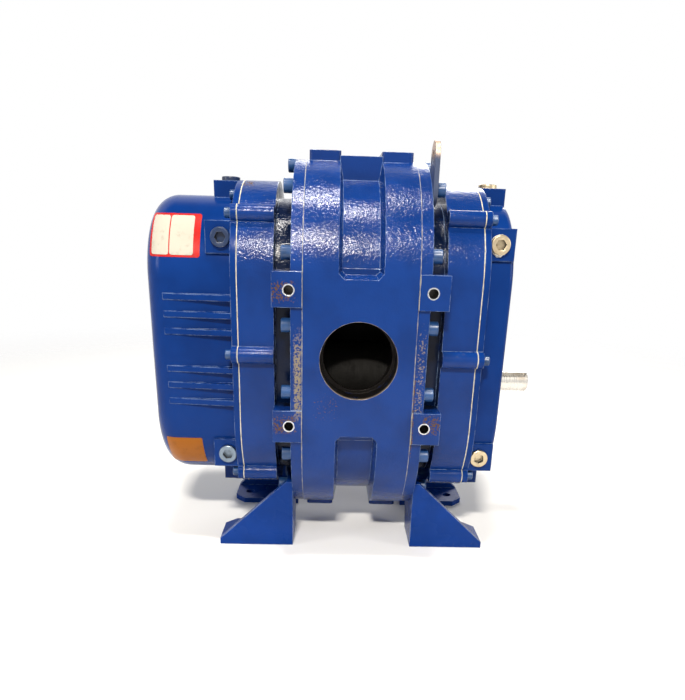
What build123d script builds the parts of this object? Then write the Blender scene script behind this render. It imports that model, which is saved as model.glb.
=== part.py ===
from build123d import *
from math import acos, cos, pi, radians, sin, sqrt, tan
import os

# Two-shaft, three-lobe rotary lobe pump with timing gears in the left-hand
# cover and a step-up drive gear in the right-hand cover. Millimetres.
# +X runs along the shafts to the drive end, +Y to the rear port, +Z up.
# The origin is on the floor, at the centre of the four feet.

os.makedirs("parts", exist_ok=True)

# Casing and rotors
port_height = 287.0
shaft_spacing = 184.0
casing_length = 144.0
casing_wall = 32.33
tip_clearance = 0.3
rotor_clearance = 0.3
end_clearance = 0.4
lobe_count = 3
rest_angle = 14.0
port_radius = 50.0
port_depth = 34.0
throat_radius = 46.0
arch_arcs = 4
straight_down = 270.0

# Weight-saving grooves and machined pads of the casing
groove_half_width = 28.0
groove_wall = 10.0
groove_start_angle = 9.0
groove_draft = 11.0
groove_end_rise = 9.0
groove_corner = 7.0
pad_inner = 27.0
pad_outer = 69.0
pad_half_depth = 35.0
top_pad_height = 9.0
cross_pad_height = 3.0
bottom_pad_height = 5.0
pad_corner = 5.0

# End plates: flange, neck and drum
flange_thickness = 15.0
flange_step = 1.0
neck_setback = 51.0
gap_width = 23.0
drum_length = 46.0
sump_wall = 9.0
sump_depth = 30.0
hub_radius = 66.0

# Port mounting blocks, four holes round each port
block_inner = 66.0
block_outer = 109.0
block_proud = 3.0
block_depth = 42.0
port_bolt_offset = 17.0
port_bolt_z = 87.0
port_bolt_radius = 6.0
port_bolt_depth = 26.0

# Covers
gasket_thickness = 1.0
cover_flange_thickness = 8.0
gear_clearance = 1.5
cover_wall = 7.0
cover_flange_reach = 21.0
gear_cover_length = 124.0
gear_cover_edge = 34.0
drive_cover_length = 44.0
drive_cover_edge = 8.0
cover_lug_radius = 11.0
cover_lug_reach = 2.0
cover_lug_angles = (40.0, 140.0)
cover_inner_angles = (66.0, 114.0)
rib_length = 91.0
rib_height = 9.0
rib_width = 8.0
rib_rows = (25.0, 47.5, 70.0)
nose_wall = 8.0
nose_lip = 10.0

# Oil-plug bosses on the covers
oil_boss_inset = 1.0
oil_boss_width = 40.0
oil_boss_drop = 2.75
oil_boss_recess = 1.0
end_boss_half_depth = 24.0
end_boss_rise = 19.0
plug_radius = 12.5
plug_head = 6.0
plug_length = 12.0
plug_socket = 6.0

# Fasteners
screw_radius = 6.0
screw_head_radius = 9.0
screw_head_height = 12.0
screw_grip = 20.0
screw_hole_clearance = 0.75
thread_clearance = 0.1
screw_edge = 8.5
screw_side_height = 43.0
upper_screw_angles = (15.0, 52.5, 90.0, 127.5, 165.0)
lower_screw_angles = (15.0, 90.0, 165.0)
cover_screw_radius = 4.0
cover_screw_head_radius = 6.5
cover_screw_head_height = 8.0
cover_screw_grip = 14.0
dowel_radius = 5.0
dowel_half_length = 10.0
dowel_angle = 35.0

# Feet and lifting eye
foot_reach = 107.0
foot_plate = 9.0
foot_gusset = 10.0
foot_setback = 46.0
foot_width = 69.0
foot_neck_reach = 18.0
foot_neck_gap = 9.5
foot_overlap = 61.0
foot_corner = 16.0
foot_screw_angles = (50.3, 70.2)
foot_screw_inset = 10.0
foot_hole_radius = 7.0
foot_hole_inset = 22.0
foot_hole_setback = 41.0
eye_thickness = 6.0
eye_radius = 20.0
eye_hole_radius = 9.0
eye_height = 37.0
eye_screw_angle = 52.5

# Shafts, bearings and seals
core_radius = 32.0
seal_journal = 30.0
bearing_journal = 25.0
gear_seat = 22.5
nut_thread = 20.0
seal_bore = 38.0
seal_offset = 9.0
seal_width = 18.0
running_clearance = 0.05
bearing_offset = 5.0
bearing_width = 27.0
bearing_bore = 55.0
race_gap_radius = 40.0
retainer_thickness = 6.0
retainer_radius = 62.0
gear_step_inset = 4.0
nut_thickness = 11.0
nut_radius = 31.0
nut_stub = 3.0

# Gears
gear_module = 5.0
pressure_angle = 20.0
addendum = 0.9
dedendum = 1.15
backlash = 0.45
timing_gear_width = 40.0
drive_gear_teeth = 36
pinion_teeth = 23
drive_gear_width = 20.0
pinion_width = 24.0
web_recess = 5.0

# Input shaft
input_seat = 19.0
input_journal = 17.5
input_radius = 15.0
input_stickout = 50.0
input_bearing_bore = 36.0
input_bearing_width = 23.0
input_race_gap = 27.0
input_seal_width = 8.0
keyway_width = 8.0
keyway_depth = 4.0
keyway_length = 38.0
keyway_inset = 3.0
keyway_tilt = 36.0

# Worked-out sizes
casing_half = casing_length / 2
arc_offset = shaft_spacing / 2
upper_z = port_height + arc_offset
lower_z = port_height - arc_offset
pitch_circle = shaft_spacing / 2
rolling_circle = pitch_circle / (2 * lobe_count)
chamber_radius = pitch_circle + 2 * rolling_circle - rotor_clearance + tip_clearance
casing_radius = chamber_radius + casing_wall
groove_floor = chamber_radius + groove_wall
groove_depth = casing_radius - groove_floor
groove_end_height = arc_offset + groove_end_rise
screw_circle = casing_radius - screw_edge
neck_radius = casing_radius - neck_setback
flange_outer = casing_half + flange_thickness
drum_start = flange_outer + gap_width
drum_end = drum_start + drum_length
sump_floor = drum_end - sump_depth
cover_start = drum_end + gasket_thickness
cover_flange_end = cover_start + cover_flange_thickness
gear_cover_end = cover_start + gear_cover_length
drive_cover_end = cover_start + drive_cover_length
port_bolt_x = casing_half + port_bolt_offset
seal_start = casing_half + seal_offset
seal_end = seal_start + seal_width
bearing_start = drum_start + bearing_offset
bearing_end = bearing_start + bearing_width
shaft_bearing_end = drum_end - gear_step_inset
block_face = casing_radius + block_proud
timing_teeth = round(shaft_spacing / gear_module)
timing_module = shaft_spacing / timing_teeth
cover_cavity = pitch_circle + addendum * timing_module + gear_clearance
cover_radius = cover_cavity + cover_wall
drum_radius = cover_radius + cover_flange_reach
lug_circle = drum_radius + cover_lug_reach
inner_screw_circle = drum_radius - cover_lug_radius
drive_distance = gear_module * (drive_gear_teeth + pinion_teeth) / 2
input_z = upper_z - drive_distance
shaft_axes = ((0, upper_z), (0, lower_z))
drive_gear_start = shaft_bearing_end + 4
drive_gear_end = drive_gear_start + drive_gear_width
pinion_end = shaft_bearing_end + pinion_width
timing_gear_end = shaft_bearing_end + timing_gear_width
input_bearing_start = drive_gear_end + 6
input_bearing_end = input_bearing_start + input_bearing_width
nose_radius = input_bearing_bore + nose_wall
nose_end = input_bearing_end + nose_lip
input_tip = nose_end + input_stickout
lug_height = arc_offset + lug_circle * sin(radians(cover_lug_angles[0]))
oil_boss_start = cover_start + oil_boss_inset
oil_boss_height = lug_height - cover_screw_head_radius - oil_boss_drop - oil_boss_width / 2
oil_boss_face = cover_radius - oil_boss_recess
end_boss_face = arc_offset + cover_radius + end_boss_rise
foot_outer = flange_outer + foot_reach
foot_face = casing_radius - foot_setback
foot_inner_edge = foot_face - foot_width
foot_neck_edge = foot_inner_edge - foot_neck_reach
foot_height = lower_z - casing_radius + foot_overlap
neck_at_foot = sqrt(max(neck_radius**2 - (lower_z - foot_height) ** 2, 0))
foot_top_edge = neck_at_foot + foot_neck_gap
foot_hole_x = foot_outer - foot_hole_inset
foot_hole_y = foot_face - foot_hole_setback
cut_margin = 5.0


# Points are (y, z) pairs on planes across the shafts.

def arc_points(radius, upper_angles, lower_angles):
    upper = [(radius * cos(radians(a)), upper_z + radius * sin(radians(a))) for a in upper_angles]
    lower = [(radius * cos(radians(a)), lower_z - radius * sin(radians(a))) for a in lower_angles]
    return upper + lower


side_screws = [
    (side * screw_circle, port_height + level * screw_side_height)
    for side in (-1, 1)
    for level in (-1, 1)
]
casing_screws = arc_points(screw_circle, upper_screw_angles, lower_screw_angles) + side_screws
foot_screws = [
    (circle * cos(radians(angle)), lower_z - circle * sin(radians(angle)))
    for angle, circle in zip(foot_screw_angles, (screw_circle - foot_screw_inset, screw_circle))
]
foot_screw_points = [(side * y, z) for side in (-1, 1) for y, z in foot_screws]
cover_screws = arc_points(lug_circle, cover_lug_angles, cover_lug_angles)
cover_screws += arc_points(inner_screw_circle, cover_inner_angles, cover_inner_angles)
cover_screws += [(-lug_circle, port_height), (lug_circle, port_height)]
dowels = arc_points(screw_circle, (dowel_angle,), (180 - dowel_angle,))


def save(piece, name):
    piece.part.label = name
    export_step(piece.part, f"parts/{name}.step")
    print(f"{name}: {piece.part.volume / 1000:.1f} cm3")


def slab(start, end, radius, mode=Mode.ADD):
    # Upright round-ended slab between two stations along the shafts.
    with BuildSketch(Plane.YZ.offset(start)) as outline:
        with Locations((0, port_height)):
            SlotCenterToCenter(shaft_spacing, 2 * radius, rotation=90)
    extrude(outline.sketch, amount=end - start, mode=mode)


def rounds(points, start, end, radius, mode=Mode.ADD):
    # Round bars or bores along the shafts at each (y, z) point.
    with BuildSketch(Plane.YZ.offset(start)) as circles:
        with Locations(*points):
            Circle(radius)
    extrude(circles.sketch, amount=end - start, mode=mode)


def block(x_range, y_range, z_range, mode=Mode.ADD, corner=0):
    # Box between pairs of limits, with its upright edges rounded if asked.
    (x0, x1), (y0, y1), (z0, z1) = x_range, y_range, z_range
    with BuildSketch(Plane.XY.offset(min(z0, z1))) as base:
        with Locations(((x0 + x1) / 2, (y0 + y1) / 2)):
            if corner:
                RectangleRounded(abs(x1 - x0), abs(y1 - y0), corner)
            else:
                Rectangle(abs(x1 - x0), abs(y1 - y0))
    extrude(base.sketch, amount=abs(z1 - z0), mode=mode)


def port_plane(side, distance):
    # Plane across the port axis: side -1 is the front, +1 the rear.
    return Plane(origin=(0, side * distance, port_height), x_dir=(-side, 0, 0), z_dir=(0, side, 0))


def swung_plane(height, angle):
    # Plane along the shafts, turned about the line at this height.
    tilt = radians(angle)
    return Plane(origin=(0, 0, height), x_dir=(1, 0, 0), z_dir=(0, -sin(tilt), cos(tilt)))


# Casing: one block with both rotor bores, the two ports, grooves and pads

with BuildPart() as casing:
    slab(-casing_half, casing_half, casing_radius)
    groove_floor_half = groove_half_width - groove_depth * tan(radians(groove_draft))
    groove_slope = tan(radians(groove_draft))
    cutter_top = casing_radius + cut_margin
    cutter_half = groove_half_width + cut_margin * groove_slope
    for height, first_angle in ((upper_z, groove_start_angle), (lower_z, 180 + groove_start_angle)):
        with BuildSketch(swung_plane(height, first_angle)) as groove_section:
            with BuildLine():
                Polyline(
                    (-groove_floor_half, groove_floor),
                    (groove_floor_half, groove_floor),
                    (cutter_half, cutter_top),
                    (-cutter_half, cutter_top),
                    close=True,
                )
            make_face()
        revolve(
            groove_section.sketch,
            axis=Axis((0, 0, height), (1, 0, 0)),
            revolution_arc=180 - 2 * groove_start_angle,
            mode=Mode.SUBTRACT,
        )
    groove_run = arc_offset + casing_radius * sin(radians(groove_start_angle + 2))
    for side in (-1, 1):
        for up in (-1, 1):
            with BuildSketch(port_plane(side, casing_radius)) as groove_end:
                with BuildLine():
                    Polyline(
                        (-groove_half_width, up * groove_run),
                        (-groove_half_width, up * (groove_end_height + groove_corner)),
                        (-groove_half_width + groove_corner, up * groove_end_height),
                        (groove_half_width - groove_corner, up * groove_end_height),
                        (groove_half_width, up * (groove_end_height + groove_corner)),
                        (groove_half_width, up * groove_run),
                        close=True,
                    )
                make_face()
            extrude(groove_end.sketch, amount=-groove_depth, taper=groove_draft, mode=Mode.SUBTRACT)
    pad_base = upper_z + groove_floor - cut_margin
    pad_depth = (-pad_half_depth, pad_half_depth)
    cross_top = upper_z + casing_radius + cross_pad_height
    block((-pad_inner - 1, pad_inner + 1), pad_depth, (pad_base, cross_top))
    for side in (-1, 1):
        pad_width = (side * pad_inner, side * pad_outer)
        pad_top = upper_z + casing_radius + top_pad_height
        block(pad_width, pad_depth, (pad_base, pad_top), corner=pad_corner)
        pad_bottom = lower_z - casing_radius - bottom_pad_height
        lower_width = (side * (groove_half_width + 1), side * pad_outer)
        block(lower_width, pad_depth, (pad_bottom, lower_z - groove_floor), corner=pad_corner)
    rounds(shaft_axes, -casing_half, casing_half, chamber_radius, Mode.SUBTRACT)
    for side in (-1, 1):
        with BuildSketch(port_plane(side, casing_radius)) as port_bore:
            Circle(port_radius)
        extrude(port_bore.sketch, amount=-port_depth, mode=Mode.SUBTRACT)
        with BuildSketch(port_plane(side, casing_radius)) as port_throat:
            Circle(throat_radius)
        extrude(port_throat.sketch, amount=-casing_radius / 2, mode=Mode.SUBTRACT)
    tapped = screw_radius + thread_clearance
    for side in (-1, 1):
        inner = side * (casing_half - screw_grip - 4)
        rounds(casing_screws + foot_screw_points, side * casing_half, inner, tapped, Mode.SUBTRACT)
        rounds(
            dowels,
            side * casing_half,
            side * (casing_half - dowel_half_length - 1),
            dowel_radius + thread_clearance,
            Mode.SUBTRACT,
        )
save(casing, "casing")


# End plates: a flange on the casing, a neck and a bearing drum in one casting

def end_plate(side):
    with BuildPart() as plate:
        slab(side * drum_start, side * drum_end, drum_radius)
        rounds(cover_screws, side * drum_start, side * drum_end, cover_lug_radius)
        slab(side * casing_half, side * flange_outer, casing_radius - flange_step)
        slab(side * flange_outer, side * drum_start, neck_radius)
        for face in (-1, 1):
            for level in (-1, 1):
                block(
                    (side * casing_half, side * drum_start),
                    (face * block_face, face * (block_face - block_depth)),
                    (port_height + level * block_inner, port_height + level * block_outer),
                )
        # Oil sump open to the cover, with a hub round each bearing
        sump_radius = drum_radius - sump_wall
        slab(side * sump_floor, side * drum_end, sump_radius, Mode.SUBTRACT)
        rounds(cover_screws, side * sump_floor, side * drum_end, cover_lug_radius)
        rounds(shaft_axes, side * sump_floor, side * bearing_end, hub_radius)
        rounds(shaft_axes, side * bearing_start, side * bearing_end, bearing_bore, Mode.SUBTRACT)
        rounds(shaft_axes, side * seal_start, side * bearing_start, seal_bore, Mode.SUBTRACT)
        rounds(shaft_axes, side * casing_half, side * seal_start, seal_journal + 1, Mode.SUBTRACT)
        # Screw, dowel and tapped holes
        rounds(
            casing_screws + foot_screw_points,
            side * casing_half,
            side * flange_outer,
            screw_radius + screw_hole_clearance,
            Mode.SUBTRACT,
        )
        rounds(
            dowels,
            side * casing_half,
            side * (casing_half + dowel_half_length + 1),
            dowel_radius + thread_clearance,
            Mode.SUBTRACT,
        )
        rounds(
            cover_screws,
            side * drum_end,
            side * (drum_end - cover_screw_grip - 3),
            cover_screw_radius + thread_clearance,
            Mode.SUBTRACT,
        )
        for face in (-1, 1):
            with BuildSketch(port_plane(face, block_face)) as port_holes:
                with Locations(
                    (-face * side * port_bolt_x, port_bolt_z),
                    (-face * side * port_bolt_x, -port_bolt_z),
                ):
                    Circle(port_bolt_radius)
            extrude(port_holes.sketch, amount=-port_bolt_depth, mode=Mode.SUBTRACT)
    return plate


gear_end_plate = end_plate(-1)
save(gear_end_plate, "gear_end_plate")
drive_end_plate = end_plate(1)
save(drive_end_plate, "drive_end_plate")


# Covers: a lugged flange, a round-ended shell and a boss for each oil plug

def cover_body(side, end, edge, inset):
    # Round-ended block with a rounded end face; inset gives the cavity.
    with BuildPart() as body:
        slab(side * cover_start, side * (end - inset), cover_radius - inset)
        end_face = body.faces().sort_by(Axis.X)[-1 if side > 0 else 0]
        fillet(end_face.edges(), edge - inset if edge > inset else 1)
    return body


def oil_bosses(side, mode=Mode.ADD):
    x_range = (side * oil_boss_start, side * (oil_boss_start + oil_boss_width))
    half = oil_boss_width / 2
    for face in (-1, 1):
        for level in (-1, 1):
            centre = port_height + level * oil_boss_height
            depth = (face * oil_boss_face, face * cover_cavity / 2)
            block(x_range, depth, (centre - half, centre + half), mode)
    for level in (-1, 1):
        reach = (port_height + level * end_boss_face, port_height + level * (arc_offset + cover_cavity / 2))
        block(x_range, (-end_boss_half_depth, end_boss_half_depth), reach, mode)


def plug_places(side):
    # Outward direction and the point on each boss face.
    x = side * (oil_boss_start + oil_boss_width / 2)
    places = []
    for face in (-1, 1):
        for level in (-1, 1):
            places.append(((0, face, 0), (x, face * oil_boss_face, port_height + level * oil_boss_height)))
    for level in (-1, 1):
        places.append(((0, 0, level), (x, 0, port_height + level * end_boss_face)))
    return places


def cover(side, end, edge):
    outer = cover_body(side, end, edge, 0)
    cavity = cover_body(side, end, edge, cover_wall)
    with BuildPart() as shell:
        slab(side * cover_start, side * cover_flange_end, drum_radius)
        rounds(cover_screws, side * cover_start, side * cover_flange_end, cover_lug_radius)
        add(outer.part)
        oil_bosses(side)
        if side > 0:
            nose = ((0, input_z),)
            rounds(nose, side * input_bearing_start, side * nose_end, nose_radius)
        else:
            for row in rib_rows:
                for level in (-1, 1):
                    middle = port_height + level * row
                    with BuildSketch(Plane.XY.offset(middle - rib_width / 2)) as rib:
                        for face in (-1, 1):
                            with BuildLine():
                                Polyline(
                                    (-cover_flange_end, face * (cover_radius - 3)),
                                    (-cover_flange_end, face * (cover_radius + rib_height)),
                                    (-cover_flange_end - rib_length, face * cover_radius),
                                    (-cover_flange_end - rib_length, face * (cover_radius - 3)),
                                    close=True,
                                )
                            make_face()
                    extrude(rib.sketch, amount=rib_width)
        add(cavity.part, mode=Mode.SUBTRACT)
        if side > 0:
            rounds(nose, input_bearing_start, end - 1, nose_radius)
            rounds(nose, input_bearing_start, input_bearing_end, input_bearing_bore, Mode.SUBTRACT)
            rounds(nose, input_bearing_end, nose_end, input_bearing_bore - 6, Mode.SUBTRACT)
        rounds(
            cover_screws,
            side * cover_start,
            side * cover_flange_end,
            cover_screw_radius + screw_hole_clearance,
            Mode.SUBTRACT,
        )
        for outward, point in plug_places(side):
            with BuildSketch(Plane(origin=point, z_dir=outward)) as plug_hole:
                Circle(plug_radius - 2 + thread_clearance)
            extrude(plug_hole.sketch, amount=-plug_length - 1, mode=Mode.SUBTRACT)
    return shell


gear_cover = cover(-1, gear_cover_end, gear_cover_edge)
save(gear_cover, "gear_cover")
drive_cover = cover(1, drive_cover_end, drive_cover_edge)
save(drive_cover, "drive_cover")


def gasket(side):
    with BuildPart() as ring:
        slab(side * drum_end, side * cover_start, drum_radius)
        rounds(cover_screws, side * drum_end, side * cover_start, cover_lug_radius)
        slab(side * drum_end, side * cover_start, drum_radius - sump_wall, Mode.SUBTRACT)
        rounds(cover_screws, side * drum_end, side * cover_start, cover_lug_radius)
        rounds(
            cover_screws,
            side * drum_end,
            side * cover_start,
            cover_screw_radius + screw_hole_clearance,
            Mode.SUBTRACT,
        )
    return ring


save(gasket(-1), "gear_cover_gasket")
save(gasket(1), "drive_cover_gasket")


# Fasteners: each group of like screws is one node

def screws(points, seat, side, head_radius, head_height, shank, length):
    # Socket heads on the seat plane, shanks running inward from it.
    with BuildPart() as group:
        rounds(points, side * seat, side * (seat + head_height), head_radius)
        rounds(points, side * seat, side * (seat - length), shank)
    return group


eye_screw = arc_points(screw_circle, (180 - eye_screw_angle,), ())[0]


def casing_screw_group(side):
    with BuildPart() as group:
        for point in casing_screws:
            seat = flange_outer
            if side > 0 and point[0] == eye_screw[0] and point[1] == eye_screw[1]:
                seat = flange_outer + eye_thickness
            head = (side * seat, side * (seat + screw_head_height))
            rounds((point,), head[0], head[1], screw_head_radius)
            rounds((point,), side * seat, side * (casing_half - screw_grip), screw_radius)
    return group


save(casing_screw_group(-1), "gear_end_screws")
save(casing_screw_group(1), "drive_end_screws")

for side, name in ((-1, "gear_cover_screws"), (1, "drive_cover_screws")):
    cover_screw_length = cover_flange_end - drum_end + cover_screw_grip
    group = screws(
        cover_screws,
        cover_flange_end,
        side,
        cover_screw_head_radius,
        cover_screw_head_height,
        cover_screw_radius,
        cover_screw_length,
    )
    save(group, name)

with BuildPart() as foot_screw_set:
    for side in (-1, 1):
        seat = flange_outer + foot_plate
        rounds(foot_screw_points, side * seat, side * (seat + screw_head_height), screw_head_radius)
        rounds(foot_screw_points, side * seat, side * (casing_half - screw_grip), screw_radius)
save(foot_screw_set, "foot_screws")

with BuildPart() as dowel_pins:
    for side in (-1, 1):
        start = side * (casing_half - dowel_half_length)
        rounds(dowels, start, side * (casing_half + dowel_half_length), dowel_radius)
save(dowel_pins, "dowel_pins")


# Oil plugs: round-headed, with a hexagon socket

def plug_set(side):
    with BuildPart() as plugs:
        for outward, point in plug_places(side):
            face = Plane(origin=point, z_dir=outward)
            with BuildSketch(face) as thread:
                Circle(plug_radius - 2)
            extrude(thread.sketch, amount=-plug_length)
            with BuildSketch(face) as head:
                Circle(plug_radius)
            extrude(head.sketch, amount=plug_head)
            with BuildSketch(face.offset(plug_head)) as socket:
                RegularPolygon(plug_socket, 6)
            extrude(socket.sketch, amount=-plug_head - 2, mode=Mode.SUBTRACT)
    return plugs


save(plug_set(-1), "gear_cover_plugs")
save(plug_set(1), "drive_cover_plugs")


# Feet: upright plate on the flange, sole plate and outer gusset

def foot(side, face):
    with BuildPart() as bracket:
        upright_start = side * flange_outer
        with BuildSketch(Plane.YZ.offset(upright_start)) as upright:
            with BuildLine():
                Polyline(
                    (face * foot_face, 0),
                    (face * foot_inner_edge, 0),
                    (face * foot_neck_edge, foot_height * 0.45),
                    (face * foot_neck_edge, foot_height * 0.7),
                    (face * foot_top_edge, foot_height),
                    (face * foot_face, foot_height),
                    close=True,
                )
            make_face()
        extrude(upright.sketch, amount=side * foot_plate)
        with BuildSketch(Plane.XY) as sole:
            with BuildLine():
                Polyline(
                    (side * flange_outer, face * foot_face),
                    (side * (foot_outer - 2), face * foot_face),
                    (side * foot_outer, face * (foot_face - 4)),
                    (side * foot_outer, face * (foot_inner_edge + foot_corner)),
                    (side * (foot_outer - foot_corner), face * foot_inner_edge),
                    (side * flange_outer, face * foot_inner_edge),
                    close=True,
                )
            make_face()
            with Locations((side * foot_hole_x, face * foot_hole_y)):
                Circle(foot_hole_radius, mode=Mode.SUBTRACT)
        extrude(sole.sketch, amount=foot_plate)
        with BuildSketch(Plane.XZ.offset(-face * foot_face)) as gusset:
            with BuildLine():
                Polyline(
                    (side * flange_outer, 0),
                    (side * foot_outer, 0),
                    (side * foot_outer, foot_plate),
                    (side * (flange_outer + foot_plate), foot_height),
                    (side * flange_outer, foot_height),
                    close=True,
                )
            make_face()
        extrude(gusset.sketch, amount=face * foot_gusset)
        rounds(
            [(face * y, z) for y, z in foot_screws],
            side * flange_outer,
            side * (flange_outer + foot_plate),
            screw_radius + screw_hole_clearance,
            Mode.SUBTRACT,
        )
    return bracket


for face, end_name in ((-1, "front"), (1, "rear")):
    for side, side_name in ((-1, "left"), (1, "right")):
        save(foot(side, face), f"foot_{end_name}_{side_name}")


# Lifting eye: a flat bar under one flange screw

with BuildPart() as lifting_eye:
    with BuildSketch(Plane.YZ.offset(flange_outer)) as eye_outline:
        with Locations((eye_screw[0], eye_screw[1] + eye_height / 2)):
            SlotCenterToCenter(eye_height, 2 * eye_radius, rotation=90)
        with Locations(eye_screw):
            Circle(screw_radius + screw_hole_clearance, mode=Mode.SUBTRACT)
        with Locations((eye_screw[0], eye_screw[1] + eye_height)):
            Circle(eye_hole_radius, mode=Mode.SUBTRACT)
    extrude(eye_outline.sketch, amount=eye_thickness)
save(lifting_eye, "lifting_eye")


# Bearings, retainers and seals held by the end plates

for side, name in ((-1, "gear_end"), (1, "drive_end")):
    with BuildPart() as outer_rings:
        rounds(shaft_axes, side * bearing_start, side * bearing_end, bearing_bore)
        rounds(shaft_axes, side * bearing_start, side * bearing_end, race_gap_radius, Mode.SUBTRACT)
    save(outer_rings, f"{name}_bearing_outers")
    with BuildPart() as retainers:
        retainer_end = side * (bearing_end + retainer_thickness)
        rounds(shaft_axes, side * bearing_end, retainer_end, retainer_radius)
        rounds(shaft_axes, side * bearing_end, retainer_end, race_gap_radius - 3, Mode.SUBTRACT)
    save(retainers, f"{name}_retainers")
    with BuildPart() as seals:
        rounds(shaft_axes, side * seal_start, side * seal_end, seal_bore)
        seal_hole = seal_journal + running_clearance
        rounds(shaft_axes, side * seal_start, side * seal_end, seal_hole, Mode.SUBTRACT)
    save(seals, f"{name}_seals")

input_axis = ((0, input_z),)
with BuildPart() as input_bearing_outer:
    rounds(input_axis, input_bearing_start, input_bearing_end, input_bearing_bore)
    rounds(input_axis, input_bearing_start, input_bearing_end, input_race_gap, Mode.SUBTRACT)
save(input_bearing_outer, "input_bearing_outer")

with BuildPart() as input_seal:
    seal_face = nose_end - input_seal_width
    rounds(input_axis, seal_face, nose_end, input_bearing_bore - 6)
    rounds(input_axis, seal_face, nose_end, input_journal + running_clearance, Mode.SUBTRACT)
save(input_seal, "input_seal")


# Rotors: three-lobe cycloid on the pitch circle, drawn in by the clearance

def arch_point(turn, lobe, across):
    # Point at fraction `across` of one 60-degree arch that starts at `turn`.
    roll = across * pi / lobe_count
    sign = 1 if lobe else -1
    reach = pitch_circle + sign * rolling_circle
    ratio = reach / rolling_circle
    x = reach * cos(roll) - sign * rolling_circle * cos(ratio * roll)
    y = reach * sin(roll) - rolling_circle * sin(ratio * roll)
    to_contact = (pitch_circle * cos(roll) - x, pitch_circle * sin(roll) - y)
    length = sqrt(to_contact[0] ** 2 + to_contact[1] ** 2)
    if length < 1e-6:
        inward = (0, 1) if (lobe == (across < 0.5)) else (0, -1)
        inward = (
            inward[0] * cos(roll) - inward[1] * sin(roll),
            inward[0] * sin(roll) + inward[1] * cos(roll),
        )
    else:
        inward = (sign * to_contact[0] / length, sign * to_contact[1] / length)
    x += rotor_clearance * inward[0]
    y += rotor_clearance * inward[1]
    angle = radians(turn)
    return (x * cos(angle) - y * sin(angle), x * sin(angle) + y * cos(angle))


def rotor(height, turn):
    arch = 180 / lobe_count
    with BuildPart() as body:
        with BuildSketch(Plane.YZ.offset(-casing_half + end_clearance)) as profile:
            with BuildLine():
                for step in range(2 * lobe_count):
                    start = turn + step * arch
                    lobe = step % 2 == 0
                    points = [arch_point(start, lobe, k / (2 * arch_arcs)) for k in range(2 * arch_arcs + 1)]
                    spots = [(y, z + height) for y, z in points]
                    for k in range(arch_arcs):
                        ThreePointArc(*spots[2 * k : 2 * k + 3])
            make_face()
        extrude(profile.sketch, amount=casing_length - 2 * end_clearance)
        rounds(((0, height),), -casing_half, casing_half, core_radius, Mode.SUBTRACT)
    return body


# A lobe tip lies 30 degrees past the start of its arch.
lobe_start = straight_down - 90 / lobe_count + rest_angle
save(rotor(upper_z, lobe_start), "upper_rotor")
save(rotor(lower_z, -lobe_start), "lower_rotor")


# Shafts, each a run of (end station, radius) steps from its start

def stepped_shaft(height, start, steps):
    with BuildPart() as shaft:
        for end, radius in steps:
            rounds(((0, height),), start, end, radius)
            start = end
    return shaft


gear_end_steps = [
    (-timing_gear_end, nut_thread),
    (-shaft_bearing_end, gear_seat),
    (-bearing_start, bearing_journal),
    (-casing_half + end_clearance, seal_journal),
    (casing_half - end_clearance, core_radius),
    (bearing_start, seal_journal),
    (shaft_bearing_end, bearing_journal),
]
gear_tail = -timing_gear_end - nut_thickness - nut_stub
pinion_tail = pinion_end + nut_thickness + nut_stub
pinion_steps = [(pinion_end, gear_seat), (pinion_tail, nut_thread)]
save(stepped_shaft(upper_z, gear_tail, gear_end_steps + pinion_steps), "upper_shaft")
save(stepped_shaft(lower_z, gear_tail, gear_end_steps), "lower_shaft")

input_steps = [
    (drive_gear_end, input_seat - 1.5),
    (input_bearing_start, input_seat + 4),
    (nose_end, input_journal),
    (input_tip, input_radius),
]
keyway_middle = input_tip - keyway_inset - keyway_length / 2
keyway_out = (0, -sin(radians(keyway_tilt)), cos(radians(keyway_tilt)))
keyway_plane = Plane(origin=(keyway_middle, 0, input_z), x_dir=(1, 0, 0), z_dir=keyway_out)
with BuildPart() as drive_shaft:
    start = drive_gear_start - nut_stub
    for end, radius in input_steps:
        rounds(input_axis, start, end, radius)
        start = end
    with BuildSketch(keyway_plane.offset(input_radius - keyway_depth)) as keyway:
        SlotOverall(keyway_length, keyway_width)
    extrude(keyway.sketch, amount=2 * keyway_depth, mode=Mode.SUBTRACT)
    chamfer(drive_shaft.faces().sort_by(Axis.X)[-1].edges(), 1.5)
save(drive_shaft, "drive_shaft")

for height, name in ((upper_z, "upper"), (lower_z, "lower")):
    with BuildPart() as inner_rings:
        for side in (-1, 1):
            ring = side * bearing_start, side * bearing_end
            rounds(((0, height),), ring[0], ring[1], race_gap_radius - running_clearance)
            rounds(((0, height),), ring[0], ring[1], bearing_journal, Mode.SUBTRACT)
    save(inner_rings, f"{name}_bearing_inners")

with BuildPart() as input_bearing_inner:
    inner_radius = input_race_gap - running_clearance
    rounds(input_axis, input_bearing_start, input_bearing_end, inner_radius)
    rounds(input_axis, input_bearing_start, input_bearing_end, input_journal, Mode.SUBTRACT)
save(input_bearing_inner, "input_bearing_inner")


# Gears: involute teeth with both flanks thinned by the backlash

def involute(angle):
    return tan(angle) - angle


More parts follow.
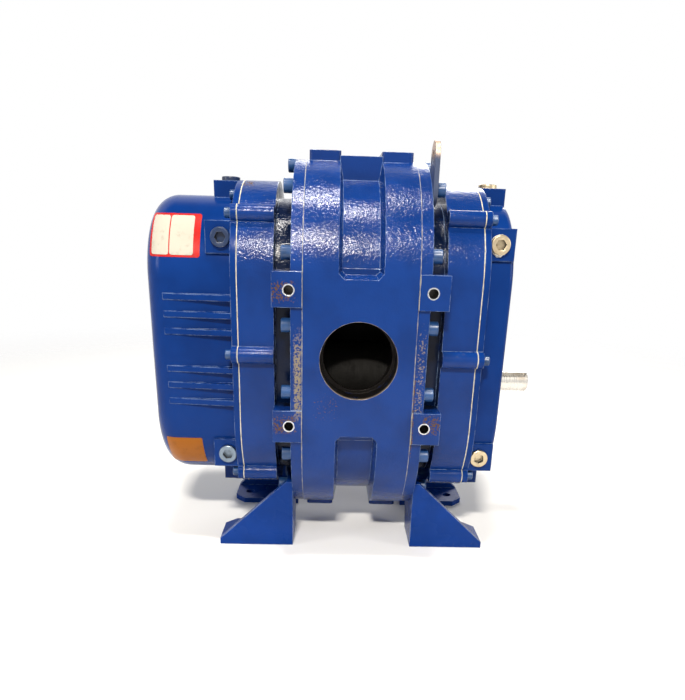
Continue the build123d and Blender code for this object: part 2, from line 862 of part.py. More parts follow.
def gear(height, start, end, teeth, module, tooth_angle, bore):
    pitch = module * teeth / 2
    base = pitch * cos(radians(pressure_angle))
    tip = pitch + addendum * module
    root = pitch - dedendum * module
    half_tooth = (pi * module / 2 - backlash) / (2 * pitch) + involute(radians(pressure_angle))
    foot_radius = max(root, base)
    flank = [foot_radius + (tip - foot_radius) * k / 3 for k in range(4)]
    with BuildPart() as wheel:
        corners = []
        for tooth in range(teeth):
            centre = radians(tooth_angle + 360 * tooth / teeth)
            rising = [(root, half_tooth - involute(acos(base / foot_radius)))]
            rising += [(r, half_tooth - involute(acos(base / r))) for r in flank]
            if root >= base:
                rising = rising[1:]
            for radius, half in rising:
                corners.append((radius * cos(centre - half), radius * sin(centre - half)))
            for radius, half in reversed(rising):
                corners.append((radius * cos(centre + half), radius * sin(centre + half)))
        with BuildSketch(Plane.YZ.offset(start)) as profile:
            with Locations((0, height)):
                with BuildSketch(mode=Mode.PRIVATE) as outline:
                    with BuildLine():
                        Polyline(*corners, close=True)
                    make_face()
                add(outline.sketch)
                Circle(bore, mode=Mode.SUBTRACT)
        extrude(profile.sketch, amount=end - start)
        inward = 1 if end > start else -1
        rim = root - 2 * module
        hub = bore + 2 * module
        if rim - hub > 3 * module:
            for face, depth in ((start, inward * web_recess), (end, -inward * web_recess)):
                with BuildSketch(Plane.YZ.offset(face)) as recess:
                    with Locations((0, height)):
                        Circle(rim)
                        Circle(hub, mode=Mode.SUBTRACT)
                extrude(recess.sketch, amount=depth, mode=Mode.SUBTRACT)
    return wheel


half_pitch = 180 / timing_teeth
gear_run = (-shaft_bearing_end, -timing_gear_end)
upper_timing = gear(upper_z, *gear_run, timing_teeth, timing_module, straight_down + half_pitch, gear_seat)
save(upper_timing, "upper_timing_gear")
lower_timing = gear(lower_z, *gear_run, timing_teeth, timing_module, 90, gear_seat)
save(lower_timing, "lower_timing_gear")
pinion_angle = straight_down + 180 / pinion_teeth
pinion_run = (shaft_bearing_end, pinion_end)
pinion = gear(upper_z, *pinion_run, pinion_teeth, gear_module, pinion_angle, gear_seat)
save(pinion, "drive_pinion")
drive_run = (drive_gear_start, drive_gear_end)
drive_gear = gear(input_z, *drive_run, drive_gear_teeth, gear_module, 90, input_seat - 1.5)
save(drive_gear, "drive_gear")


# Slotted round nuts that clamp the gears on the shafts

def locknut(height, start, end):
    with BuildPart() as nut:
        rounds(((0, height),), start, end, nut_radius)
        rounds(((0, height),), start, end, nut_thread + thread_clearance, Mode.SUBTRACT)
    return nut


nut_face = -timing_gear_end
save(locknut(upper_z, nut_face, nut_face - nut_thickness), "upper_timing_nut")
save(locknut(lower_z, nut_face, nut_face - nut_thickness), "lower_timing_nut")
save(locknut(upper_z, pinion_end, pinion_end + nut_thickness), "pinion_nut")
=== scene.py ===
import math
import bmesh
import bpy
from mathutils import Matrix, Vector
from mathutils.bvhtree import BVHTree


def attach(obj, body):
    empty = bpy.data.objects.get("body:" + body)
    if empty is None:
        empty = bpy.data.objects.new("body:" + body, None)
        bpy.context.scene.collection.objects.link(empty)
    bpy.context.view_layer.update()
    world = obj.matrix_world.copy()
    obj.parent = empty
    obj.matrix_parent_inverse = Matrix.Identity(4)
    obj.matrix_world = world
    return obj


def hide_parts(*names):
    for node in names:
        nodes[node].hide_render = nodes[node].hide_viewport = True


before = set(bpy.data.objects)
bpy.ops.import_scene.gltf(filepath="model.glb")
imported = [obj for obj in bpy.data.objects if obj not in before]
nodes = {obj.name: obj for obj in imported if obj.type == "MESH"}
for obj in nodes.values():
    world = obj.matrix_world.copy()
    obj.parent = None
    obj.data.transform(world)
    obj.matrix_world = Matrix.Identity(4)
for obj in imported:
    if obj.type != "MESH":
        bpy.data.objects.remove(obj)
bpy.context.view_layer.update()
mm = 0.001
print("frame loaded:", len(nodes), "nodes")


def put(tree, kind, inputs=None, **settings):
    # one node; inputs may be numbers, colours or sockets to link from
    node = tree.nodes.new(kind)
    for key, value in settings.items():
        setattr(node, key, value)
    for key, value in (inputs or {}).items():
        if isinstance(value, bpy.types.NodeSocket):
            tree.links.new(value, node.inputs[key])
        else:
            node.inputs[key].default_value = value
    return node


def calc(tree, operation, first, second=0.0, third=None, clamp=False):
    values = {0: first, 1: second}
    if third is not None:
        values[2] = third
    return put(tree, "ShaderNodeMath", values, operation=operation, use_clamp=clamp).outputs[0]


def noise(tree, where, scale, detail=2.0, rough=0.5, warp=0.0):
    made = put(tree, "ShaderNodeTexNoise", {
        "Vector": where, "Scale": scale, "Detail": detail, "Roughness": rough, "Distortion": warp})
    return made.outputs["Fac"]


def fade(tree, value, low, high, start=0.0, end=1.0):
    # smooth step from low to high
    made = put(tree, "ShaderNodeMapRange", {
        "Value": value, "From Min": low, "From Max": high, "To Min": start, "To Max": end},
        interpolation_type="SMOOTHSTEP")
    return made.outputs["Result"]


def blendColours(tree, factor, first, second, mode="MIX"):
    made = put(tree, "ShaderNodeMix", {"Factor": factor}, data_type="RGBA", blend_type=mode)
    for socket, value in ((made.inputs[6], first), (made.inputs[7], second)):
        if isinstance(value, bpy.types.NodeSocket):
            tree.links.new(value, socket)
        else:
            socket.default_value = (*value, 1.0)
    return made.outputs[2]


def startMaterial(name):
    material = bpy.data.materials.new(name)
    material.use_nodes = True
    tree = material.node_tree
    surface = tree.nodes["Principled BSDF"]
    where = put(tree, "ShaderNodeTexCoord").outputs["Object"]
    return material, tree, surface, where


def bumped(tree, height, strength, distance, normal=None):
    inputs = {"Height": height, "Strength": strength, "Distance": distance * mm}
    if normal is not None:
        inputs["Normal"] = normal
    return put(tree, "ShaderNodeBump", inputs).outputs["Normal"]


def rounded(tree, radius):
    # soft highlight along sharp edges
    return put(tree, "ShaderNodeBevel", {"Radius": radius * mm}, samples=6).outputs["Normal"]


def edgeMask(tree, softNormal, low, high):
    # 0 on flats, 1 on outside and inside edges
    flat = put(tree, "ShaderNodeNewGeometry").outputs["Normal"]
    dot = put(tree, "ShaderNodeVectorMath", {0: softNormal, 1: flat}, operation="DOT_PRODUCT")
    return fade(tree, calc(tree, "SUBTRACT", 1.0, dot.outputs["Value"]), low, high)


def boxMask(tree, where, centre, half, soft=0.35):
    # 1 inside a box given in millimetres, fading out over the soft share of it
    centreNode = put(tree, "ShaderNodeVectorMath", {
        0: where, 1: [c * mm for c in centre]}, operation="SUBTRACT").outputs[0]
    size = put(tree, "ShaderNodeVectorMath", {0: centreNode}, operation="ABSOLUTE").outputs[0]
    share = put(tree, "ShaderNodeVectorMath", {
        0: size, 1: [h * mm for h in half]}, operation="DIVIDE").outputs[0]
    parts = put(tree, "ShaderNodeSeparateXYZ", {0: share}).outputs
    most = calc(tree, "MAXIMUM", calc(tree, "MAXIMUM", parts[0], parts[1]), parts[2])
    return fade(tree, most, 1.0, 1.0 - soft)


enamel = {
    "casting": {
        "colour": (0.0026, 0.03, 0.17), "deep": (0.0016, 0.022, 0.128), "grain": 330.0,
        "grainHeight": 0.4, "flatGrain": 0.14, "roughness": (0.13, 0.2), "edge": 1.2, "shine": 0.2,
        "rubbedAndHighlit": 0.8},
    "cover": {
        "colour": (0.0022, 0.027, 0.155), "deep": (0.0015, 0.021, 0.125), "grain": 60.0,
        "grainHeight": 0.1, "flatGrain": 0.06, "roughness": (0.13, 0.22), "edge": 2.2, "shine": 0.1,
        "rubbedAndHighlit": 0.4},
    "plate": {
        "colour": (0.0028, 0.033, 0.2), "deep": (0.002, 0.026, 0.155), "grain": 120.0,
        "grainHeight": 0.12, "flatGrain": 0.1, "roughness": (0.22, 0.34), "edge": 1.2, "shine": 0.1,
        "rubbedAndHighlit": 0.8},
}

# worn places: centre and half size in mm, how much paint is gone, and its colour
tanDust = (0.2, 0.165, 0.115)
rust = (0.08, 0.04, 0.018)
wearPlaces = {
    "casting": [
        ((-78, -154, 262), (7, 8, 78), 0.4, tanDust),
        ((-100, -158, 372), (26, 6, 18), 0.36, rust),
        ((-96, -158, 202), (24, 6, 18), 0.36, rust),
        ((73, -155, 215), (2.5, 8, 80), 0.4, rust),
        ((80, -150, 250), (8, 10, 110), 0.3, tanDust),
        ((-40, -155, 225), (30, 4, 30), 0.25, rust),
        ((98, -158, 205), (20, 6, 20), 0.36, rust),
        ((-150, -60, 505), (12, 60, 14), 0.36, rust),
    ],
    "cover": [],
    "plate": [((150, -60, 6), (60, 60, 8), 0.34, tanDust)],
}


portFace = {
    "height": 287.0, "holeAcross": 89.0, "holeRise": 87.0, "rim": (8.4, 8.0), "bore": (6.15, 6.05),
    "rimDepth": (0.13, 0.131), "opening": (51.0, 50.6), "dark": (0.1535, 0.147)}


def enamelMaterial(name, kind, seams=(), holes=True):
    look = enamel[kind]
    material, tree, surface, where = startMaterial(name)
    soft = rounded(tree, look["edge"])
    normal = put(tree, "ShaderNodeTexCoord").outputs["Normal"]
    across = calc(tree, "ABSOLUTE", put(tree, "ShaderNodeSeparateXYZ", {0: normal}).outputs[1])
    flat = fade(tree, across, 0.97, 0.995)  # machined faces towards the ports
    parts = put(tree, "ShaderNodeSeparateXYZ", {0: where}).outputs
    # cast skin under thick paint: wrinkles, pits and orange peel
    wrinkle = noise(tree, where, look["grain"], 2.0, 0.55, 0.6)
    pits = noise(tree, where, look["grain"] * 0.28, 2.0, 0.5)
    peel = noise(tree, where, look["grain"] * 3.1, 1.0, 0.4)
    height = calc(tree, "ADD", calc(tree, "MULTIPLY", wrinkle, 0.7), calc(tree, "MULTIPLY", pits, 0.9))
    height = calc(tree, "ADD", height, calc(tree, "MULTIPLY", peel, 0.12))
    strength = fade(tree, flat, 0.0, 1.0, look["grainHeight"], look["flatGrain"])
    bump = bumped(tree, height, strength, 1.6, soft)
    # colour: pooled darker paint, slow mottling
    mottle = fade(tree, noise(tree, where, 14.0, 3.0, 0.6), 0.35, 0.7)
    paint = blendColours(tree, mottle, look["colour"], look["deep"])
    if holes:
        # painted shade: the recess between flange and drum darkened nearly to black
        reach = calc(tree, "ABSOLUTE", parts[0])
        recessShade = calc(tree, "MULTIPLY", fade(tree, reach, 0.0868, 0.088), fade(tree, reach, 0.1105, 0.1095))
        recessShade = calc(tree, "MULTIPLY", recessShade, fade(tree, calc(tree, "ABSOLUTE", parts[1]), 0.14, 0.125))
        paint = blendColours(tree, calc(tree, "MULTIPLY", recessShade, 0.9), paint, (0.0006, 0.003, 0.012))
    # chips and rubbed places
    specks = noise(tree, where, 420.0, 3.0, 0.65)
    lost = None
    for centre, half, amount, colour in wearPlaces[kind]:
        place = boxMask(tree, where, centre, half, 0.6)
        above = calc(tree, "SUBTRACT", specks, calc(tree, "SUBTRACT", 1.0 - amount, calc(
            tree, "MULTIPLY", place, 0.15)))
        gone = calc(tree, "MULTIPLY", fade(tree, above, 0.0, 0.05), place)
        paint = blendColours(tree, gone, paint, colour)
        lost = gone if lost is None else calc(tree, "MAXIMUM", lost, gone)
    # thin pale edge: painted highlight along the edges, partly paint rubbed through
    edge = edgeMask(tree, soft, 0.02, 0.14)
    rubbedAndHighlit = calc(tree, "MULTIPLY", edge, fade(tree, noise(tree, where, 60.0, 3.0, 0.7), 0.36, 0.6))
    paint = blendColours(tree, calc(tree, "MULTIPLY", rubbedAndHighlit, look["rubbedAndHighlit"]), paint, (0.3, 0.42, 0.62))
    # sealing compound squeezed out along the joints
    for seam, half, colour in seams:
        far = calc(tree, "ABSOLUTE", calc(tree, "SUBTRACT", calc(tree, "ABSOLUTE", parts[0]), seam * mm))
        wavy = calc(tree, "ADD", far, calc(tree, "MULTIPLY", noise(tree, where, 160.0), 0.0011))
        line = fade(tree, wavy, (half + 0.6) * mm, (half + 0.35) * mm)
        paint = blendColours(tree, line, paint, colour)
    rough = fade(tree, noise(tree, where, 22.0, 3.0), 0.3, 0.7, *look["roughness"])
    if lost is not None:
        rough = calc(tree, "MAXIMUM", rough, calc(tree, "MULTIPLY", lost, 0.8))
    if holes:
        # four tapped holes round each port: bare chamfer, dark thread inside
        rise = calc(tree, "SUBTRACT", parts[2], portFace["height"] * mm)
        depth = calc(tree, "ABSOLUTE", parts[1])
        off = [calc(tree, "SUBTRACT", calc(tree, "ABSOLUTE", value), size * mm) for value, size in (
            (parts[0], portFace["holeAcross"]), (rise, portFace["holeRise"]))]
        radial = calc(tree, "SQRT", calc(tree, "ADD", calc(tree, "POWER", off[0], 2.0),
                                         calc(tree, "POWER", off[1], 2.0)))
        ragged = calc(tree, "ADD", radial, calc(tree, "MULTIPLY", noise(tree, where, 260.0), 0.0012))
        rim = calc(tree, "MULTIPLY", fade(tree, ragged, *[r * mm for r in portFace["rim"]]),
                   fade(tree, depth, *portFace["rimDepth"]))
        bore = fade(tree, radial, *[r * mm for r in portFace["bore"]])
        paint = blendColours(tree, rim, paint, (0.55, 0.56, 0.58))
        paint = blendColours(tree, calc(tree, "MULTIPLY", rim, bore), paint, (0.05, 0.045, 0.04))
        # bare ports, with painted shade turning the bore near black further in
        portRadial = calc(tree, "SQRT", calc(
            tree, "ADD", calc(tree, "POWER", parts[0], 2.0), calc(tree, "POWER", rise, 2.0)))
        portEdge = calc(tree, "ADD", portRadial, calc(tree, "MULTIPLY", noise(tree, where, 90.0), 0.0012))
        port = fade(tree, portEdge, *[r * mm for r in portFace["opening"]])
        portShade = fade(tree, depth, *portFace["dark"])
        stained = noise(tree, where, 55.0, 4.0, 0.7)
        portIronAndShade = blendColours(tree, stained, (0.42, 0.35, 0.27), (0.16, 0.11, 0.07))
        portIronAndShade = blendColours(tree, portShade, portIronAndShade, (0.012, 0.01, 0.009))
        paint = blendColours(tree, port, paint, portIronAndShade)
        metal = calc(tree, "MAXIMUM", rim, calc(tree, "MULTIPLY", port, 0.6))
        rough = calc(tree, "MAXIMUM", rough, calc(tree, "MULTIPLY", port, 0.42))
        tree.links.new(metal, surface.inputs["Metallic"])
    tree.links.new(paint, surface.inputs["Base Color"])
    tree.links.new(rough, surface.inputs["Roughness"])
    tree.links.new(bump, surface.inputs["Normal"])
    surface.inputs["Specular IOR Level"].default_value = look["shine"]
    return material


def metalMaterial(name, colour, dark, roughness, grain, bump=0.05, metallic=1.0, shine=0.5):
    # turned or ground metal, with lines across the longest grain axis
    material, tree, surface, where = startMaterial(name)
    stretched = put(tree, "ShaderNodeMapping", {"Vector": where, "Scale": grain}).outputs[0]
    lines = noise(tree, stretched, 1.0, 3.0, 0.6)
    stain = fade(tree, noise(tree, where, 45.0, 4.0, 0.65), 0.45, 0.75)
    shade = blendColours(tree, stain, colour, dark)
    rough = fade(tree, lines, 0.3, 0.7, roughness[0], roughness[1])
    rough = calc(tree, "ADD", rough, calc(tree, "MULTIPLY", stain, 0.15))
    tree.links.new(shade, surface.inputs["Base Color"])
    tree.links.new(rough, surface.inputs["Roughness"])
    tree.links.new(bumped(tree, lines, bump, 0.4, rounded(tree, 0.5)), surface.inputs["Normal"])
    surface.inputs["Metallic"].default_value = metallic
    surface.inputs["Specular IOR Level"].default_value = shine
    return material


def screwMaterial(name, colour, worn, roughness=(0.28, 0.42)):
    # satin paint over steel, thin on the rims
    material, tree, surface, where = startMaterial(name)
    soft = rounded(tree, 0.5)
    edge = edgeMask(tree, soft, 0.02, 0.18)
    thin = fade(tree, noise(tree, where, 150.0, 3.0, 0.7), 0.42, 0.62)
    gone = calc(tree, "MULTIPLY", edge, thin)
    mottle = fade(tree, noise(tree, where, 40.0, 3.0), 0.4, 0.7)
    paint = blendColours(tree, mottle, colour, [c * 0.6 for c in colour])
    paint = blendColours(tree, gone, paint, worn)
    tree.links.new(paint, surface.inputs["Base Color"])
    rough = fade(tree, noise(tree, where, 120.0, 2.0), 0.3, 0.7, *roughness)
    tree.links.new(rough, surface.inputs["Roughness"])
    tree.links.new(calc(tree, "MULTIPLY", gone, 0.8), surface.inputs["Metallic"])
    tree.links.new(bumped(tree, noise(tree, where, 320.0, 2.0), 0.12, 0.5, soft), surface.inputs["Normal"])
    return material


def softMaterial(name, colour, dark, roughness, scale=180.0, bump=0.2):
    # gasket, rubber or tape: matt, slightly uneven
    material, tree, surface, where = startMaterial(name)
    fleck = fade(tree, noise(tree, where, scale, 4.0, 0.65), 0.4, 0.7)
    tree.links.new(blendColours(tree, fleck, colour, dark), surface.inputs["Base Color"])
    rough = fade(tree, noise(tree, where, scale * 0.5, 2.0), 0.3, 0.7, roughness - 0.08, roughness + 0.08)
    tree.links.new(rough, surface.inputs["Roughness"])
    tree.links.new(bumped(tree, noise(tree, where, scale * 2.0, 2.0), bump, 0.3), surface.inputs["Normal"])
    return material


def stickerMaterial(name, colour, dirt):
    # printed film: smooth gloss with grime and faint creases
    material, tree, surface, where = startMaterial(name)
    grime = fade(tree, noise(tree, where, 70.0, 5.0, 0.7), 0.5, 0.8)
    shade = blendColours(tree, calc(tree, "MULTIPLY", grime, 0.5), colour, dirt)
    creases = noise(tree, where, 45.0, 2.0, 0.5, 1.2)
    tree.links.new(shade, surface.inputs["Base Color"])
    tree.links.new(fade(tree, grime, 0.0, 1.0, 0.3, 0.55), surface.inputs["Roughness"])
    tree.links.new(bumped(tree, creases, 0.25, 0.8), surface.inputs["Normal"])
    surface.inputs["Specular IOR Level"].default_value = 0.12
    return material


def eyeMaterial():
    # lifting eye: blue paint burnt and rubbed to bare metal over the top
    material, tree, surface, where = startMaterial("liftingEyePaint")
    height = put(tree, "ShaderNodeSeparateXYZ", {0: where}).outputs[2]
    cloudy = calc(tree, "ADD", height, calc(tree, "MULTIPLY", noise(tree, where, 60.0, 4.0, 0.7), 0.02))
    bare = fade(tree, cloudy, 0.538, 0.55)
    soft = rounded(tree, 0.8)
    paint = blendColours(tree, noise(tree, where, 40.0, 3.0), (0.02, 0.035, 0.085), (0.045, 0.06, 0.11))
    metal = blendColours(tree, noise(tree, where, 120.0, 4.0, 0.7), (0.62, 0.47, 0.37), (0.36, 0.24, 0.17))
    tree.links.new(blendColours(tree, bare, paint, metal), surface.inputs["Base Color"])
    tree.links.new(calc(tree, "MULTIPLY", bare, 0.5), surface.inputs["Metallic"])
    tree.links.new(bumped(tree, noise(tree, where, 260.0, 3.0), 0.3, 0.5, soft), surface.inputs["Normal"])
    surface.inputs["Roughness"].default_value = 0.42
    return material


compound = (0.36, 0.34, 0.28)
castPaint = enamelMaterial("castingEnamel", "casting", seams=((72.2, 0.45, compound),))
coverPaint = enamelMaterial("coverEnamel", "cover", holes=False)
platePaint = enamelMaterial("footEnamel", "plate", holes=False)
screwPaint = screwMaterial("screwEnamel", (0.012, 0.055, 0.17), (0.4, 0.43, 0.5))
darkScrewPaint = screwMaterial("plugEnamel", (0.006, 0.022, 0.075), (0.5, 0.52, 0.55))
platedMetal = metalMaterial("platedPlug", (0.55, 0.45, 0.3), (0.3, 0.22, 0.12), (0.28, 0.42), (200, 200, 200))
# near-black painted shade for the faces inside screw and plug sockets
socketShade = softMaterial("socketShade", (0.012, 0.012, 0.014), (0.03, 0.028, 0.026), 0.6)
dullSteel = metalMaterial("plugSteel", (0.2, 0.25, 0.31), (0.1, 0.12, 0.14), (0.3, 0.42), (300, 300, 300))
bareSteel = metalMaterial("turnedSteel", (0.66, 0.63, 0.58), (0.4, 0.35, 0.29), (0.2, 0.34), (900, 30, 30))
darkSteel = metalMaterial("oiledSteel", (0.2, 0.2, 0.21), (0.1, 0.09, 0.085), (0.3, 0.45), (500, 60, 60))
# rotors near black with little shine: painted shade inside the casing, seen through the ports
rotorIronPaintedShade = metalMaterial(
    "rotorIronPaintedShade", (0.006, 0.0055, 0.005), (0.003, 0.0028, 0.0025), (0.55, 0.7), (700, 40, 40), 0.05, 0.0, 0.08)
gasketPaper = softMaterial("gasketEdge", (0.62, 0.56, 0.4), (0.38, 0.33, 0.2), 0.75)
sealRubber = softMaterial("sealRubber", (0.014, 0.014, 0.015), (0.03, 0.028, 0.026), 0.5)
tapeWhite = softMaterial("threadTape", (0.85, 0.84, 0.8), (0.68, 0.66, 0.6), 0.55, 90.0, 0.5)

finishes = {
    castPaint: ("casing", "gear_end_plate", "drive_end_plate"),
    coverPaint: ("gear_cover", "drive_cover"),
    platePaint: ("foot_front_left", "foot_front_right", "foot_rear_left", "foot_rear_right"),
    eyeMaterial(): ("lifting_eye",),
    gasketPaper: ("gear_cover_gasket", "drive_cover_gasket"),
    bareSteel: ("drive_shaft",),
    darkSteel: (
        "dowel_pins", "upper_shaft", "lower_shaft", "upper_timing_gear", "lower_timing_gear",
        "upper_timing_nut", "lower_timing_nut", "drive_pinion", "pinion_nut", "drive_gear",
        "gear_end_bearing_outers", "drive_end_bearing_outers", "upper_bearing_inners",
        "lower_bearing_inners", "input_bearing_outer", "input_bearing_inner",
        "gear_end_retainers", "drive_end_retainers"),
    rotorIronPaintedShade: ("upper_rotor", "lower_rotor"),
    sealRubber: ("gear_end_seals", "drive_end_seals", "input_seal"),
}


def dress(piece, material):
    piece.data.materials.clear()
    piece.data.materials.append(material)


for material, names in finishes.items():
    for name in names:
        dress(nodes[name], material)
print("CAD nodes painted")


def partBoxes(nodeName):
    # lowest and highest corner of each loose part of a CAD node
    work = bmesh.new()
    work.from_mesh(nodes[nodeName].data)
    bmesh.ops.remove_doubles(work, verts=work.verts, dist=1e-5)
    boxes, seen = [], set()
    work.verts.ensure_lookup_table()
    for vertex in work.verts:
        if vertex in seen:
            continue
        seen.add(vertex)
        stack, island = [vertex], []
        while stack:
            current = stack.pop()
            island.append(current.co.copy())
            for edge in current.link_edges:
                other = edge.other_vert(current)
                if other not in seen:
                    seen.add(other)
                    stack.append(other)
        low = Vector([min(p[i] for p in island) for i in range(3)])
        high = Vector([max(p[i] for p in island) for i in range(3)])
        boxes.append((low, high))
    work.free()
    return boxes


def ringMesh(name, rings, closeStart=True, closeEnd=True):
    # skin over rings of equal point counts, with a fan at each end
    work = bmesh.new()
    loops = [[work.verts.new(point) for point in ring] for ring in rings]
    count = len(loops[0])
    for first, second in zip(loops, loops[1:]):
        for k in range(count):
            n = (k + 1) % count
            work.faces.new((first[k], first[n], second[n], second[k]))
    for loop, wanted in ((loops[0], closeStart), (loops[-1], closeEnd)):
        if wanted:
            centre = work.verts.new(sum((v.co for v in loop), Vector()) / count)
            for k in range(count):
                work.faces.new((loop[k], loop[(k + 1) % count], centre))
    bmesh.ops.recalc_face_normals(work, faces=work.faces)
    mesh = bpy.data.meshes.new(name)
    work.to_mesh(mesh)
    work.free()
    return mesh


def circle(radius, height, count, ripple=0.0):
    return [((radius + ripple * (k % 2)) * math.cos(2 * math.pi * k / count),
             (radius + ripple * (k % 2)) * math.sin(2 * math.pi * k / count), height) for k in range(count)]


def hexagon(radius, height, count):
    # the same number of points spread along the six flats
    side, points = count // 6, []
    for k in range(count):
        corner, along = divmod(k, side)
        a, b = [(radius * math.cos(math.pi / 3 * c), radius * math.sin(math.pi / 3 * c))
                for c in (corner, corner + 1)]
        t = along / side
        points.append((a[0] + (b[0] - a[0]) * t, a[1] + (b[1] - a[1]) * t, height))
    return points


screwSizes = {
    "flange": {"head": 9.0, "height": 12.0, "shank": 6.0, "socket": 5.8, "socketDepth": 6.0},
    "cover": {"head": 6.5, "height": 8.0, "shank": 4.0, "socket": 3.5, "socketDepth": 4.0},
    "plug": {"head": 12.5, "height": 6.0, "shank": 10.5, "socket": 7.2, "socketDepth": 7.5},
}


def socketHead(name, size, shankLength, count=36):
    # head seated at zero, socket opening upward, shank below
    h, r = size["height"], size["head"]
    ripple = 0.0 if name == "plug" else 0.22
    rings = [
        circle(size["shank"], -shankLength, count),
        circle(size["shank"], 0.0, count),
        circle(r - 0.4, 0.0, count),
        circle(r, 0.5, count, -ripple),
        circle(r, h - 1.5, count, -ripple),
        circle(r, h - 1.2, count),
        circle(r - 0.3, h - 0.5, count),
        circle(r - 1.1, h, count),
        circle(size["socket"] * 1.12, h, count),
        hexagon(size["socket"], h - 0.5, count),
        hexagon(size["socket"], h - size["socketDepth"], count),
    ]
    mesh = ringMesh(name, [[Vector(p) * mm for p in ring] for ring in rings])
    inside = mesh.attributes.new("inside", "BOOLEAN", "FACE")
    for face in mesh.polygons:
        middle = face.center / mm
        sunk = 0 < middle.z < h - 0.3
        inside.data[face.index].value = sunk and middle.xy.length < size["socket"] * 1.1
    template = bpy.data.objects.new(name, mesh)
    bpy.context.scene.collection.objects.link(template)
    return template


def addTree(name, sockets):
    tree = bpy.data.node_groups.new(name, "GeometryNodeTree")
    tree.interface.new_socket("Geometry", in_out="INPUT", socket_type="NodeSocketGeometry")
    for label, kind, value in sockets:
        socket = tree.interface.new_socket(label, in_out="INPUT", socket_type=kind)
        if value is not None:
            socket.default_value = value
    tree.interface.new_socket("Geometry", in_out="OUTPUT", socket_type="NodeSocketGeometry")
    return tree, tree.nodes.new("NodeGroupInput"), tree.nodes.new("NodeGroupOutput")


def setInput(modifier, label, value):
    for item in modifier.node_group.interface.items_tree:
        if item.item_type == "SOCKET" and item.in_out == "INPUT" and item.name == label:
            modifier[item.identifier] = value


def scatterTree():
    # a template on every point, turned to the point's outward direction and spun at random
    tree, start, end = addTree("fastenerRow", (
        ("Template", "NodeSocketObject", None), ("Head Scale", "NodeSocketFloat", 1.0),
        ("Spin Spread", "NodeSocketFloat", 3.1416), ("Seed", "NodeSocketInt", 7),
        ("Finish", "NodeSocketMaterial", None), ("Socket Shade", "NodeSocketMaterial", None)))
    source = put(tree, "GeometryNodeObjectInfo", {"Object": start.outputs["Template"]})
    outward = put(tree, "GeometryNodeInputNamedAttribute", {"Name": "outward"}, data_type="FLOAT_VECTOR")
    turn = put(tree, "FunctionNodeAlignRotationToVector", {"Vector": outward.outputs[0]}, axis="Z")
    spin = put(tree, "FunctionNodeRandomValue", {
        "Max": start.outputs["Spin Spread"], "Seed": start.outputs["Seed"]}, data_type="FLOAT")
    axisAngle = put(tree, "FunctionNodeAxisAngleToRotation", {"Angle": spin.outputs[1]})
    both = put(tree, "FunctionNodeRotateRotation", {
        0: turn.outputs[0], 1: axisAngle.outputs[0]}, rotation_space="LOCAL")
    placed = put(tree, "GeometryNodeInstanceOnPoints", {
        "Points": start.outputs["Geometry"], "Instance": source.outputs["Geometry"],
        "Rotation": both.outputs[0], "Scale": start.outputs["Head Scale"]})
    real = put(tree, "GeometryNodeRealizeInstances", {0: placed.outputs[0]})
    painted = put(tree, "GeometryNodeSetMaterial", {
        "Geometry": real.outputs[0], "Material": start.outputs["Finish"]})
    # faces inside each socket get the painted shade
    inside = put(tree, "GeometryNodeInputNamedAttribute", {"Name": "inside"}, data_type="BOOLEAN")
    shaded = put(tree, "GeometryNodeSetMaterial", {
        "Geometry": painted.outputs[0], "Selection": inside.outputs[0],
        "Material": start.outputs["Socket Shade"]})
    tree.links.new(shaded.outputs[0], end.inputs["Geometry"])
    return tree


fastenerRow = scatterTree()


def settle(piece):
    # plain mesh from the evaluated modifiers
    bpy.context.view_layer.update()
    made = bpy.data.meshes.new_from_object(piece.evaluated_get(bpy.context.evaluated_depsgraph_get()))
    piece.modifiers.clear()
    piece.data = made
    for face in made.polygons:
        face.use_smooth = True
    made.set_sharp_from_angle(angle=math.radians(32))


def fasteners(name, template, places, finish, seed):
    mesh = bpy.data.meshes.new(name)
    mesh.from_pydata([tuple(point) for point, outward in places], [], [])
    mesh.attributes.new("outward", "FLOAT_VECTOR", "POINT")
    for k, (point, outward) in enumerate(places):
        mesh.attributes["outward"].data[k].vector = outward
    piece = bpy.data.objects.new(name, mesh)
    bpy.context.scene.collection.objects.link(piece)
    modifier = piece.modifiers.new("row", "NODES")
    modifier.node_group = fastenerRow
    setInput(modifier, "Template", template)
    setInput(modifier, "Seed", seed)
    setInput(modifier, "Finish", finish)
    setInput(modifier, "Socket Shade", socketShade)
    settle(piece)
    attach(piece, "housing")
    return piece


def screwPlaces(nodeName, height):
    # seat point and outward direction of each screw, from its box
    places = []
    for low, high in partBoxes(nodeName):
        side = 1 if low.x + high.x > 0 else -1
        tip = high.x if side > 0 else low.x
        middle = (low + high) / 2
        places.append((Vector((tip - side * height * mm, middle.y, middle.z)), (side, 0, 0)))
    return places


templates = []
for nodeName, kind, length, seed in (
        ("gear_end_screws", "flange", 34.0, 3), ("drive_end_screws", "flange", 34.0, 5),
        ("gear_cover_screws", "cover", 21.0, 8), ("drive_cover_screws", "cover", 21.0, 13),
        ("foot_screws", "flange", 43.0, 21)):
    size = screwSizes[kind]
    template = socketHead(kind + "Screw", size, length)
    templates.append(template)
    places = screwPlaces(nodeName, size["height"])
    piece = fasteners(nodeName + "_detailed", template, places, screwPaint, seed)
    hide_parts(nodeName)
print("socket screws placed")

plugSize = screwSizes["plug"]
plugTemplate = socketHead("plug", plugSize, 12.0)
templates.append(plugTemplate)


def plugPlaces(nodeName):
    places = []
    for low, high in partBoxes(nodeName):
        middle = (low + high) / 2
        if abs(middle.y) > 0.03:
            side = 1 if middle.y > 0 else -1
            seat = (high.y if side > 0 else low.y) - side * plugSize["height"] * mm
            places.append((Vector((middle.x, seat, middle.z)), (0, side, 0)))
        else:
            side = 1 if middle.z > 0.287 else -1
            seat = (high.z if side > 0 else low.z) - side * plugSize["height"] * mm
            places.append((Vector((middle.x, 0, seat)), (0, 0, side)))
    return places


